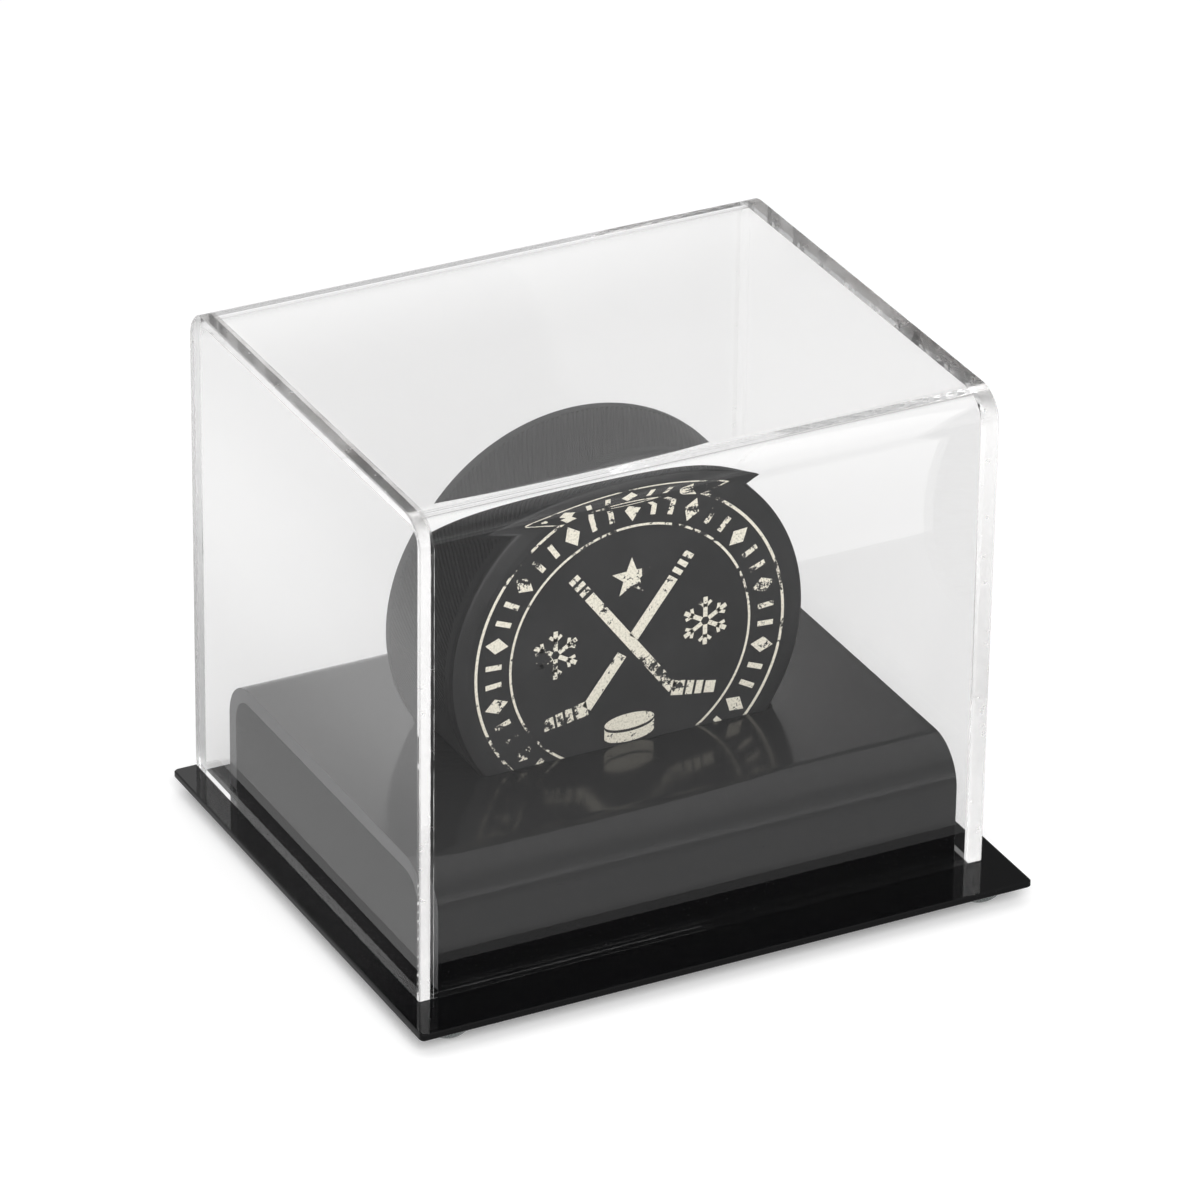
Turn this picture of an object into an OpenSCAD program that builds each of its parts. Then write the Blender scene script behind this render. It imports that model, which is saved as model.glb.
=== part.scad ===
// Hockey puck standing in a clear display case.
// A slotted black riser on a footed base plate carries the puck, and a clear cover lifts off the base.
// Millimetres, +Z up, front towards -Y, left towards -X.
// The origin lies on the floor, under the middle of the base plate.

/* [Puck] */
// Diameter of the puck over its rim
puck_d = 76.2; // [60:0.1:95]
// Thickness of the puck from face to face
puck_t = 25.4; // [18:0.1:36]
// Width of the shallow bevel round each face, up to the edge chamfer
face_bevel_w = 2.2; // [0.5:0.1:5]
// How far that bevel falls back from the face
face_bevel_drop = 0.6; // [0.2:0.1:1.5]
// Chamfer between the face bevel and the rim
edge_chamfer = 1.2; // [0.4:0.1:2.5]
// Smooth shoulder on the rim, on each side of the knurled band
rim_shoulder_w = 1.6; // [0.5:0.1:4]
// Depth of the recessed land that the knurled band lies in
knurl_depth = 0.3; // [0.1:0.05:0.8]

/* [Riser] */
// Thickness of the black sheet that the riser is bent from
riser_sheet = 3; // [2:0.1:5]
// Inner radius of the riser's two bends
riser_bend_inner_r = 6; // [3:0.5:10]
// Height of the riser over the base plate
riser_h = 25; // [21:0.5:40]
// How deep the puck sinks below the top of the riser
puck_sink = 16.9; // [8:0.1:19]
// Sheet left in front of the slot
front_land = 30; // [16:0.5:45]
// Sheet left behind the slot
back_land = 31.8; // [16:0.1:45]
// Sheet left at each end of the slot
end_land = 24; // [12:0.5:40]
// Corner radius of the slot
slot_corner_r = 1.5; // [1:0.1:2.5]

/* [Cover] */
// Thickness of the clear sheet
cover_sheet = 3; // [2:0.1:5]
// Inner radius of the cover's two bends
cover_bend_inner_r = 3.5; // [2:0.5:10]
// Room between the top of the puck and the inside of the roof
headroom = 14.3; // [5:0.1:40]

/* [Base] */
// Thickness of the base plate
base_t = 1.5; // [1.2:0.1:6]
// Corner radius of the base plate, seen from above
base_corner_r = 1; // [0.8:0.1:8]
// Polished chamfer round the top and bottom of the plate's edge
base_arris = 0.25; // [0.1:0.05:0.5]
// Plate that shows past the left and right of the cover
side_margin = 5; // [1:0.1:20]
// Plate that shows in front of the cover
front_margin = 11.2; // [1:0.1:30]
// Plate that shows behind the cover, which stands flush with the back here
back_margin = 0; // [0:0.1:20]

/* [Feet] */
// Diameter of a bumper foot where it meets the base plate
foot_d = 10.5; // [6:0.1:16]
// Height of a bumper foot
foot_h = 3.6; // [1.5:0.1:8]
// Diameter of the flat that a foot stands on
foot_flat_d = 4; // [2:0.1:5.5]
// Distance from the left or right edge of the base plate to the rim of a foot
foot_side_gap = 3.2; // [1:0.1:20]
// Distance from the front or back edge of the base plate to the rim of a foot
foot_end_gap = 1.3; // [0.5:0.1:20]

/* [Fits] */
// Gap between the puck's rim and the two slot edges that it lies on
seat_gap = 0.3; // [0.1:0.05:0.6]
// Gap between each face of the puck and the side of the slot
slot_side_gap = 0.4; // [0.2:0.05:1.5]
// Gap between the front of the riser and the inside of the cover
cover_front_gap = 0.5; // [0.3:0.1:10]
// Gap between the back of the riser and the inside of the cover
cover_back_gap = 7.1; // [0.3:0.1:15]
// Gap between each end of the riser and the inside of the cover
cover_end_gap = 2; // [0.3:0.1:10]

/* [Hidden] */
$fn = 96;
// How far a cut runs past the face that it opens
overcut = 1;

// Puck
puck_r = puck_d / 2;
puck_half_t = puck_t / 2;
face_flat_r = puck_r - edge_chamfer - face_bevel_w;
rim_half_w = puck_half_t - face_bevel_drop - edge_chamfer;
knurl_half_w = rim_half_w - rim_shoulder_w;

// Slot, whose ends lie one seat gap outside the rim at the height of the riser's top
puck_axis_rise = puck_r - puck_sink;
slot_l = 2 * sqrt(pow(puck_r + seat_gap, 2) - pow(puck_axis_rise, 2));
slot_w = puck_t + 2 * slot_side_gap;

// Outlines, each worked outwards from the slot
riser_w = slot_l + 2 * end_land;
riser_d = front_land + slot_w + back_land;
riser_bend_r = riser_bend_inner_r + riser_sheet;
cover_inner_w = riser_w + 2 * cover_end_gap;
cover_inner_d = riser_d + cover_front_gap + cover_back_gap;
cover_inner_h = riser_h + puck_d - puck_sink + headroom;
cover_w = cover_inner_w + 2 * cover_sheet;
cover_d = cover_inner_d + 2 * cover_sheet;
cover_h = cover_inner_h + cover_sheet;
cover_bend_r = cover_bend_inner_r + cover_sheet;
base_w = cover_w + 2 * side_margin;
base_d = cover_d + front_margin + back_margin;

// Levels and places
base_z = foot_h;
deck_z = base_z + base_t;
riser_top_z = deck_z + riser_h;
puck_axis_z = riser_top_z + puck_axis_rise;
cover_front_y = front_margin - base_d / 2;
cover_mid_y = cover_front_y + cover_d / 2;
riser_front_y = cover_front_y + cover_sheet + cover_front_gap;
riser_mid_y = riser_front_y + riser_d / 2;
slot_mid_y = riser_front_y + front_land + slot_w / 2;
foot_x = base_w / 2 - foot_side_gap - foot_d / 2;
foot_y = base_d / 2 - foot_end_gap - foot_d / 2;

// The sphere that a foot is cut from passes through its rim and the edge of its flat
foot_sphere_z = (pow(foot_d / 2, 2) + pow(foot_h, 2) - pow(foot_flat_d / 2, 2)) / (2 * foot_h);
foot_sphere_r = sqrt(pow(foot_sphere_z, 2) + pow(foot_flat_d / 2, 2));

BLACK_SHEET = [0.05, 0.05, 0.055];
BLACK_RUBBER = [0.12, 0.12, 0.125];
CLEAR_SHEET = [0.85, 0.9, 0.92, 0.3];
CLEAR_RUBBER = [0.75, 0.82, 0.8, 0.7];

// Outline of a sheet bent down at both sides: flat foot on y = 0, two round upper corners
module arch(width, height, corner_r) {
    translate([-width / 2, 0]) square([width, height - corner_r]);
    translate([corner_r - width / 2, 0]) square([width - 2 * corner_r, height]);
    for (side = [-1, 1])
        translate([side * (width / 2 - corner_r), height - corner_r]) circle(r = corner_r);
}

// Turns an outline drawn in x and y so that it stands across the part and is drawn out along X
module along_x(length) {
    rotate([90, 0, 90]) linear_extrude(length, center = true) children();
}

// Sheet bent into a three-sided arch with even wall thickness, open below and at both ends
module bent_sheet(length, depth, height, bend_r, sheet) {
    along_x(length) difference() {
        arch(depth, height, bend_r);
        translate([0, -overcut]) arch(depth - 2 * sheet, height - sheet + overcut, bend_r - sheet);
    }
}

// Rectangle with round corners, centred
module round_rectangle(width, depth, corner_r) {
    square([width - 2 * corner_r, depth], center = true);
    square([width, depth - 2 * corner_r], center = true);
    for (x = [-1, 1], y = [-1, 1])
        translate([x * (width / 2 - corner_r), y * (depth / 2 - corner_r)]) circle(r = corner_r);
}

// Cross-section of a plate whose long edges are chamfered above and below
module chamfered_section(width, thickness, chamfer) {
    half_w = width / 2;
    polygon([
        [chamfer - half_w, 0], [half_w - chamfer, 0],
        [half_w, chamfer], [half_w, thickness - chamfer],
        [half_w - chamfer, thickness], [chamfer - half_w, thickness],
        [-half_w, thickness - chamfer], [-half_w, chamfer]
    ]);
}

// Plate with round corners and a chamfer round its whole edge
module polished_plate(width, depth, thickness, corner_r, chamfer) {
    straight_w = width - 2 * corner_r;
    straight_d = depth - 2 * corner_r;
    along_x(straight_w) chamfered_section(depth, thickness, chamfer);
    rotate([0, 0, 90]) along_x(straight_d) chamfered_section(width, thickness, chamfer);
    for (x = [-1, 1], y = [-1, 1])
        translate([x * straight_w / 2, y * straight_d / 2, 0])
            rotate_extrude() intersection() {
                chamfered_section(2 * corner_r, thickness, chamfer);
                square([corner_r, thickness]);
            }
}

module base_plate() {
    color(BLACK_SHEET)
        translate([0, 0, base_z])
            polished_plate(base_w, base_d, base_t, base_corner_r, base_arris);
}

module riser() {
    color(BLACK_SHEET) difference() {
        translate([0, riser_mid_y, deck_z])
            bent_sheet(riser_w, riser_d, riser_h, riser_bend_r, riser_sheet);
        translate([0, slot_mid_y, riser_top_z - riser_sheet - overcut])
            linear_extrude(riser_sheet + 2 * overcut) round_rectangle(slot_l, slot_w, slot_corner_r);
    }
}

// Low dome of clear rubber, flat where it meets the plate and where it stands
module foot(side_x, side_y) {
    color(CLEAR_RUBBER)
        translate([side_x * foot_x, side_y * foot_y, 0]) intersection() {
            translate([0, 0, foot_sphere_z]) sphere(r = foot_sphere_r);
            cylinder(d = 2 * foot_d, h = foot_h);
        }
}

module puck() {
    bevel_r = puck_r - edge_chamfer;
    bevel_z = puck_half_t - face_bevel_drop;
    land_r = puck_r - knurl_depth;
    color(BLACK_RUBBER)
        translate([0, slot_mid_y, puck_axis_z]) rotate([90, 0, 0]) rotate_extrude()
            polygon([
                [0, -puck_half_t], [face_flat_r, -puck_half_t], [bevel_r, -bevel_z], [puck_r, -rim_half_w],
                [puck_r, -knurl_half_w], [land_r, -knurl_half_w], [land_r, knurl_half_w], [puck_r, knurl_half_w],
                [puck_r, rim_half_w], [bevel_r, bevel_z], [face_flat_r, puck_half_t], [0, puck_half_t]
            ]);
}

// Front, roof and back of the cover, bent from one sheet
module cover_wrap() {
    color(CLEAR_SHEET)
        translate([0, cover_mid_y, deck_z])
            bent_sheet(cover_inner_w, cover_d, cover_h, cover_bend_r, cover_sheet);
}

// Flat end panel, cut to the wrap's outline and bonded to its end
module cover_end(side_x) {
    color(CLEAR_SHEET)
        translate([side_x * (cover_inner_w + cover_sheet) / 2, cover_mid_y, deck_z])
            along_x(cover_sheet) arch(cover_d, cover_h, cover_bend_r);
}

base_plate();
riser();
foot(-1, -1);  // foot_front_left
foot(1, -1);  // foot_front_right
foot(-1, 1);  // foot_back_left
foot(1, 1);  // foot_back_right
puck();
cover_wrap();
cover_end(-1);  // cover_end_left
cover_end(1);  // cover_end_right
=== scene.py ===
"""Looks of a hockey puck that stands in a clear display case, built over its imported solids.

Lengths are in metres, in the frame of the solids: +Z up, the front towards -Y, the left towards -X.
"""

import logging
import math
from dataclasses import dataclass, field, replace
from enum import Enum, IntEnum
from typing import Any, Callable, Dict, Iterable, List, Optional, Sequence, Tuple, Union

import bmesh
import bpy
from mathutils import Matrix, Vector


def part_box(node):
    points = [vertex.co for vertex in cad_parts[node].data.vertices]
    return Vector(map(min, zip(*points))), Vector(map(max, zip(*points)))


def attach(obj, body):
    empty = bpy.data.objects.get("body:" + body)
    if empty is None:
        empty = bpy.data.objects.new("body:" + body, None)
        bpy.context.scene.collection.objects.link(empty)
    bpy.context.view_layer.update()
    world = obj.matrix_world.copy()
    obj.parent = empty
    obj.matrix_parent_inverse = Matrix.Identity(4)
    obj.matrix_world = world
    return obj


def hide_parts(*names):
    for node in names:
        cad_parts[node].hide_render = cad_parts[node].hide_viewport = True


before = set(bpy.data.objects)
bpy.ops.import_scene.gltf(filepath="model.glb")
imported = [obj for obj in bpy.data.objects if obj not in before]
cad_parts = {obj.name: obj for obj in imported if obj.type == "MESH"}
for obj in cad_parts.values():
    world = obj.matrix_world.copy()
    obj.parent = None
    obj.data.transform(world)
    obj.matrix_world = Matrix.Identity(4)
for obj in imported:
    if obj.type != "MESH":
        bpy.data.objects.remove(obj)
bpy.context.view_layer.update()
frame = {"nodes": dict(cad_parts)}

LOG = logging.getLogger("display_case")
MM = 0.001

# Index of refraction
ACRYLIC_INDEX = 1.49
RUBBER_INDEX = 1.5

# How often light was mirrored, scattered or let through, tested half way between two whole numbers
ANY = 0.5
ONE_SHEET = 2.5
GUIDED = 3.5

Point = Tuple[float, float, float]
Flat = Tuple[float, float]
Colour = Tuple[float, float, float, float]
Key = Union[int, str]
Term = Union["Wire", float]


def grey(level: float) -> Colour:
    """Returns an opaque neutral colour of that level."""
    return (level, level, level, 1.0)


# Node trees


def operator(operation: str, swapped: bool = False) -> Callable[["Wire", Term], "Wire"]:
    """Makes an operator of a wire.

    Args:
        operation: Blender's name of the Math node's operation.
        swapped: True where the wire is the second term.

    Returns:
        The method.
    """

    def apply(wire: "Wire", other: Term) -> "Wire":
        """Returns the result of the operation on a wire and another term."""
        return wire.math(operation, *((other, wire) if swapped else (wire, other)))

    return apply


class Wire:
    """One output socket of a node, with arithmetic that adds Math nodes to its tree.

    A comparison gives 1 where it holds and 0 elsewhere.
    """

    __add__ = operator("ADD")
    __radd__ = operator("ADD", swapped=True)
    __sub__ = operator("SUBTRACT")
    __rsub__ = operator("SUBTRACT", swapped=True)
    __mul__ = operator("MULTIPLY")
    __rmul__ = operator("MULTIPLY", swapped=True)
    __rtruediv__ = operator("DIVIDE", swapped=True)
    __gt__ = operator("GREATER_THAN")
    __lt__ = operator("LESS_THAN")
    least = operator("MINIMUM")
    most = operator("MAXIMUM")

    def __init__(self, tree: "Tree", socket: bpy.types.NodeSocket) -> None:
        """Keeps the socket and the tree that it belongs to."""
        self.tree = tree
        self.socket = socket

    def out(self, name: Key) -> "Wire":
        """Returns another output of the same node."""
        return Wire(self.tree, self.socket.node.outputs[name])

    def math(self, operation: str, *values: Term) -> "Wire":
        """Returns the result of a new Math node on these values."""
        return self.tree.node("ShaderNodeMath", {"operation": operation}, dict(enumerate(values)))

    def __neg__(self) -> "Wire":
        """Returns self with the other sign."""
        return self.math("MULTIPLY", self, -1.0)

    def __abs__(self) -> "Wire":
        """Returns the size of self without its sign."""
        return self.math("ABSOLUTE", self)

    def ramp(self, low: float, high: float) -> "Wire":
        """Returns a smooth step from 0 at low to 1 at high."""
        inputs = {0: self, 1: low, 2: high, 3: 0.0, 4: 1.0}
        return self.tree.node("ShaderNodeMapRange", {"interpolation_type": "SMOOTHSTEP"}, inputs)


class Tree:
    """A node tree that nodes are added to through one method."""

    def __init__(self, tree: bpy.types.NodeTree) -> None:
        """Takes over a tree and empties it."""
        self.tree = tree
        tree.nodes.clear()

    def node(
        self,
        kind: str,
        settings: Optional[Dict[str, Any]] = None,
        inputs: Optional[Dict[Key, Any]] = None,
        output: Key = 0,
    ) -> Wire:
        """Adds a node.

        Args:
            kind: Blender's name of the node type.
            settings: Properties that are set first. "stops" holds a colour ramp's places and colours.
            inputs: A value or a wire for each named or numbered input.
            output: The output that is returned.

        Returns:
            The wire from that output, or the first input where the node ends its tree.
        """
        node = self.tree.nodes.new(kind)
        for name, value in (settings or {}).items():
            if name == "stops":
                self._set_stops(node.color_ramp, value)
            else:
                setattr(node, name, value)
        for key, value in (inputs or {}).items():
            if isinstance(value, Wire):
                self.tree.links.new(value.socket, node.inputs[key])
            else:
                node.inputs[key].default_value = value
        return Wire(self, node.outputs[output] if len(node.outputs) else node.inputs[0])

    @staticmethod
    def _set_stops(ramp: bpy.types.ColorRamp, stops: Sequence[Tuple[float, Colour]]) -> None:
        """Gives a colour ramp these stops and no others.

        Args:
            ramp: The colour ramp, as a new node has it.
            stops: A place and a colour for each stop, at least two, in order.
        """
        while len(ramp.elements) < len(stops):
            ramp.elements.new(1.0)
        for element, (place, colour) in zip(ramp.elements, stops):
            element.position = place
            element.color = colour

    def split(self, vector: Wire) -> Tuple[Wire, Wire, Wire]:
        """Returns x, y and z of a vector."""
        x = self.node("ShaderNodeSeparateXYZ", inputs={0: vector})
        return x, x.out(1), x.out(2)


@dataclass(frozen=True)
class Pattern:
    """Noise of so many cells to a metre and so many finer layers, drawn out where a stretch is below 1.

    Where it shows only in places, it is 0 below one level and 1 above another.
    """

    per_metre: float
    detail: float = 2.0
    stretch: Optional[Point] = None
    shows: Optional[Flat] = None


class MaterialTree(Tree):
    """The node tree of a new material, with the few node patterns that the finishes share."""

    def __init__(self, name: str) -> None:
        """Makes the material and starts from its Object coordinates.

        Args:
            name: The material's name.
        """
        self.material = bpy.data.materials.new(name)
        self.material.use_nodes = True
        super().__init__(self.material.node_tree)
        self.place = self.node("ShaderNodeTexCoord", output="Object")

    def axes(self) -> Tuple[Wire, Wire, Wire]:
        """Returns x, y and z of the Object coordinates."""
        return self.split(self.place)

    def inside(self) -> Wire:
        """Returns 1 where light meets a face from inside the piece, and 0 elsewhere."""
        return self.node("ShaderNodeNewGeometry", output="Backfacing")

    def upward(self, low: float, high: float) -> Wire:
        """Returns how far a face looks up: 0 below one height of its normal, 1 above another."""
        _, _, height = self.split(self.node("ShaderNodeNewGeometry", output="Normal"))
        return (height * (1 - self.inside() * 2)).ramp(low, high)

    def noise(self, pattern: Pattern) -> Wire:
        """Adds a pattern over the Object coordinates.

        Args:
            pattern: How fine it is, how it is drawn out and where it shows.

        Returns:
            A value of about 0 to 1.
        """
        place = self.place
        if pattern.stretch:
            place = self.node("ShaderNodeMapping", inputs={"Vector": place, "Scale": pattern.stretch})
        inputs = {"Vector": place, "Scale": pattern.per_metre, "Detail": pattern.detail}
        noise = self.node("ShaderNodeTexNoise", inputs=inputs)
        return noise.ramp(*pattern.shows) if pattern.shows else noise

    def mix(self, factor: Term, first: Any, second: Any) -> Wire:
        """Returns a colour between two others by a factor."""
        settings = {"data_type": "RGBA", "clamp_factor": True}
        return self.node("ShaderNodeMix", settings, {0: factor, 6: first, 7: second}, output=2)

    def bump(self, height: Wire, depth: float, strength: float = 1.0) -> Wire:
        """Returns a normal from a height of 0 to 1 that stands for a depth in metres."""
        inputs = {"Height": height, "Distance": depth, "Strength": strength}
        return self.node("ShaderNodeBump", inputs=inputs)

    def principled(self, **sockets: Any) -> Wire:
        """Adds a Principled shader, whose sockets are named with underscores for spaces."""
        inputs = {name.replace("_", " "): value for name, value in sockets.items()}
        return self.node("ShaderNodeBsdfPrincipled", inputs=inputs)

    def film(self, share: float) -> Wire:
        """Returns a clear film, which lets a share of the light go straight on."""
        return self.node("ShaderNodeBsdfTransparent", inputs={"Color": grey(share)})

    def blend(self, factor: Term, first: Wire, second: Wire) -> Wire:
        """Returns a shader between two others by a factor."""
        return self.node("ShaderNodeMixShader", inputs={0: factor, 1: first, 2: second})

    def let_light_through(self, shader: Wire, share: float) -> Wire:
        """Mixes in a clear film for light that passes on to what stands behind a transparent sheet.

        Args:
            shader: The sheet as it is seen.
            share: The part of the light that gets past one surface.

        Returns:
            The mixed shader.
        """
        film = self.film(share)
        path = self.node("ShaderNodeLightPath")
        for ray in ("Is Diffuse Ray", "Is Shadow Ray"):
            shader = self.blend(path.out(ray), shader, film)
        return shader

    def done(self, shader: Wire) -> bpy.types.Material:
        """Links the shader to the output and returns the material."""
        self.node("ShaderNodeOutputMaterial", inputs={"Surface": shader})
        return self.material


# Finishes


@dataclass(frozen=True)
class Finish:
    """What the finishes share: a name, and how a material is made of them."""

    name: str

    def material(self) -> bpy.types.Material:
        """Returns a new material with this finish."""
        tree = MaterialTree(self.name)
        return tree.done(self.shader(tree))

    def shader(self, tree: MaterialTree) -> Wire:
        """Adds the finish's nodes to a material's tree and returns its shader."""
        raise NotImplementedError


@dataclass(frozen=True)
class BlackSheet(Finish):
    """Polished black acrylic with light dust, faint smears and, past some distance across, a sawn end."""

    colour: Colour = (0.002, 0.002, 0.0023, 1.0)
    dust: Colour = (0.025, 0.025, 0.027, 1.0)
    cut: Colour = (0.075, 0.075, 0.082, 1.0)
    cut_worn: Colour = grey(0.11)
    cut_x: float = 1.0
    gloss: float = 0.5
    haze: float = 0.02
    specks: Pattern = Pattern(2600.0, 1.0, shows=(0.74, 0.80))
    smears: Pattern = Pattern(55.0, 3.0, (1.0, 0.45, 1.0), (0.45, 0.80))
    hairlines: Pattern = Pattern(900.0, 2.0, (0.03, 1.0, 1.0), (0.66, 0.74))
    saw: Pattern = Pattern(1400.0, 2.0, (0.4, 1.0, 0.25))
    saw_depth: float = 0.04 * MM

    def shader(self, tree: MaterialTree) -> Wire:
        """Adds the nodes of the polished faces and of the sawn ends.

        Args:
            tree: The material's tree.

        Returns:
            The shader.
        """
        x, _, _ = tree.axes()
        at_cut = abs(x) > self.cut_x
        specks = tree.noise(self.specks)
        saw = tree.noise(self.saw)
        face = tree.mix(specks * 0.5, self.colour, self.dust)
        marred = tree.noise(self.smears) * 0.05 + tree.noise(self.hairlines) * 0.06 + specks * 0.2
        return tree.principled(
            Base_Color=tree.mix(at_cut, face, tree.mix(saw, self.cut, self.cut_worn)),
            Roughness=self.haze + marred + at_cut * (0.34 + saw * 0.16),
            Normal=tree.bump(at_cut * saw, self.saw_depth),
            IOR=ACRYLIC_INDEX,
            Specular_IOR_Level=self.gloss,
        )


@dataclass(frozen=True)
class ClearSheet(Finish):
    """Clear cast acrylic with a trace of tint, hair scratches, and dust on the outside where it looks up."""

    name: str = "clear_sheet_face"
    tint: Colour = (0.993, 0.991, 0.990, 1.0)
    shade: Colour = (0.986, 0.984, 0.983, 1.0)
    clouds: Pattern = Pattern(18.0)
    scratches: Pattern = Pattern(420.0, 3.0, (1.0, 0.06, 1.0), (0.70, 0.78))
    passed: float = 0.95
    dust: float = 0.075
    dust_colour: Colour = grey(0.85)
    dusty: Flat = (0.90, 0.99)
    drifts: Pattern = Pattern(35.0, 4.0)

    def shader(self, tree: MaterialTree) -> Wire:
        """Adds the nodes of the sheet and of the dust, which light inside the sheet doesn't meet.

        Args:
            tree: The material's tree.

        Returns:
            The shader.
        """
        sheet = tree.principled(
            Base_Color=tree.mix(tree.noise(self.clouds), self.tint, self.shade),
            Roughness=tree.noise(self.scratches) * 0.02,
            IOR=ACRYLIC_INDEX,
            Transmission_Weight=1.0,
        )
        drifts = 0.8 + tree.noise(self.drifts) * 0.4
        settled = tree.upward(*self.dusty) * (1 - tree.inside()) * drifts * self.dust
        above = tree.principled(Base_Color=self.dust_colour, Roughness=1.0, Specular_IOR_Level=0.0)
        below = tree.node("ShaderNodeBsdfTranslucent", inputs={"Color": self.dust_colour})
        sheet = tree.blend(settled, sheet, tree.blend(0.5, above, below))
        return tree.let_light_through(sheet, self.passed)


@dataclass(frozen=True)
class SawnEdge(Finish):
    """The cut edge of a clear sheet: scraped after sawing, satin, with a streaked painted shade where it
    looks up.
    """

    name: str = "clear_sheet_cut"
    colour: Colour = (0.97, 0.965, 0.96, 1.0)
    scraped: Colour = (0.88, 0.872, 0.865, 1.0)
    # Dark tint of the edges that look up: painted shade.
    painted_top_shade: Colour = (0.40, 0.378, 0.365, 1.0)
    painted_top_shade_from: Flat = (0.55, 0.90)
    marks: Pattern = Pattern(900.0, 2.0, (1.0, 1.0, 0.2))
    mark_depth: float = 0.012 * MM
    nicks: Pattern = Pattern(700.0, shows=(0.68, 0.74))
    streaks: Pattern = Pattern(210.0, 4.0, (1.0, 0.35, 0.35), (0.3, 0.7))
    passed: float = 0.9

    def shader(self, tree: MaterialTree) -> Wire:
        """Adds the nodes of the edge.

        Args:
            tree: The material's tree.

        Returns:
            The shader.
        """
        upward = tree.upward(*self.painted_top_shade_from)
        marks = tree.noise(self.marks)
        streaks = tree.noise(self.streaks)
        colour = tree.mix(streaks * 0.7 + marks * 0.3, self.colour, self.scraped)
        edge = tree.principled(
            # Edges that look up get a streaked dark tint by their normal: painted shade.
            Base_Color=tree.mix(upward * (0.45 + streaks * 0.55), colour, self.painted_top_shade),
            Roughness=0.14 - upward * 0.02 + marks * 0.1 + tree.noise(self.nicks) * 0.25,
            Normal=tree.bump(marks, self.mark_depth),
            IOR=ACRYLIC_INDEX,
            Transmission_Weight=1.0,
        )
        return tree.let_light_through(edge, self.passed)


@dataclass(frozen=True)
class SandedFoot(Finish):
    """The foot of the bent sheet at the back: sanded, white and matt."""

    name: str = "clear_sheet_foot"
    colour: Colour = grey(0.97)
    marked: Colour = grey(0.92)
    marks: Pattern = Pattern(900.0, 2.0, (0.2, 1.0, 1.0))

    def shader(self, tree: MaterialTree) -> Wire:
        """Adds the nodes of the foot.

        Args:
            tree: The material's tree.

        Returns:
            The shader.
        """
        marks = tree.noise(self.marks)
        return tree.principled(
            Base_Color=tree.mix(marks, self.colour, self.marked), Roughness=0.5 + marks * 0.2
        )


@dataclass(frozen=True, kw_only=True)
class BondSeam(Finish):
    """The bonded joint between two clear sheets: unseen where the cement ran, bright where it stayed dry."""

    name: str = "clear_sheet_bond"
    low: Point
    high: Point
    sheet: float
    colour: Colour = grey(0.98)
    wave: Pattern = Pattern(240.0, 3.0)
    wave_right: float = 0.14 * MM
    wave_left: float = 0.90 * MM
    run_inside: float = 0.1 * MM
    run_outside: float = 0.3 * MM
    cloud_reach: float = 1.1
    cloud_index: float = 1.12
    ripple: Pattern = Pattern(800.0)
    passed: float = 0.97

    def shader(self, tree: MaterialTree) -> Wire:
        """Adds the nodes of the seam: clear, dry along its rims, and cloudy at the back on the left.

        Args:
            tree: The material's tree.

        Returns:
            The shader.
        """
        x, y, z = tree.axes()
        left = x < 0
        wave = tree.noise(self.wave) * (self.wave_right + left * (self.wave_left - self.wave_right))
        from_back = self.high[1] - y
        depth = (y - self.low[1]).least(from_back).least(self.high[2] - z)
        dry = (depth > (self.sheet + self.run_inside - wave)).most(depth < (wave - self.run_outside))
        clouded = (from_back < self.sheet * self.cloud_reach) * left
        cloudy = tree.principled(
            Base_Color=self.colour, Roughness=0.9, IOR=self.cloud_index, Transmission_Weight=1.0
        )
        gap = tree.principled(
            Base_Color=self.colour,
            Roughness=tree.noise(self.ripple) * 0.1,
            IOR=ACRYLIC_INDEX,
            Transmission_Weight=1.0,
        )
        joint = tree.blend(dry, tree.blend(clouded, tree.film(1.0), cloudy), gap)
        return tree.let_light_through(joint, self.passed)


@dataclass(frozen=True)
class PuckRubber(Finish):
    """Matt vulcanised rubber with a fine moulded grain and a little grey bloom."""

    name: str = "puck_rubber"
    colour: Colour = (0.011, 0.011, 0.0115, 1.0)
    bloom: Colour = (0.024, 0.024, 0.0245, 1.0)
    gloss: float = 0.5
    grain: Pattern = Pattern(3200.0)
    grain_depth: float = 0.02 * MM
    grain_strength: float = 0.6
    cloud: Pattern = Pattern(70.0, 3.0)
    cloud_shows: Flat = (0.35, 0.75)
    scuffs: Pattern = Pattern(260.0, 3.0, (1.0, 1.0, 0.12), (0.64, 0.76))

    def body(self, tree: MaterialTree) -> Tuple[Wire, Wire, Wire]:
        """Adds the rubber's nodes to a material.

        Args:
            tree: The material's tree.

        Returns:
            The colour, the roughness and the normal.
        """
        grain = tree.noise(self.grain)
        cloud = tree.noise(self.cloud)
        bloomed = cloud.ramp(*self.cloud_shows) * 0.6 + tree.noise(self.scuffs) * 0.35
        colour = tree.mix(bloomed, self.colour, self.bloom)
        rough = 0.42 + grain * 0.14 + cloud * 0.12
        return colour, rough, tree.bump(grain, self.grain_depth, self.grain_strength)

    def shader(self, tree: MaterialTree) -> Wire:
        """Adds the nodes of bare rubber.

        Args:
            tree: The material's tree.

        Returns:
            The shader.
        """
        colour, rough, normal = self.body(tree)
        return tree.principled(
            Base_Color=colour, Roughness=rough, Normal=normal, IOR=RUBBER_INDEX, Specular_IOR_Level=self.gloss
        )


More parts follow.
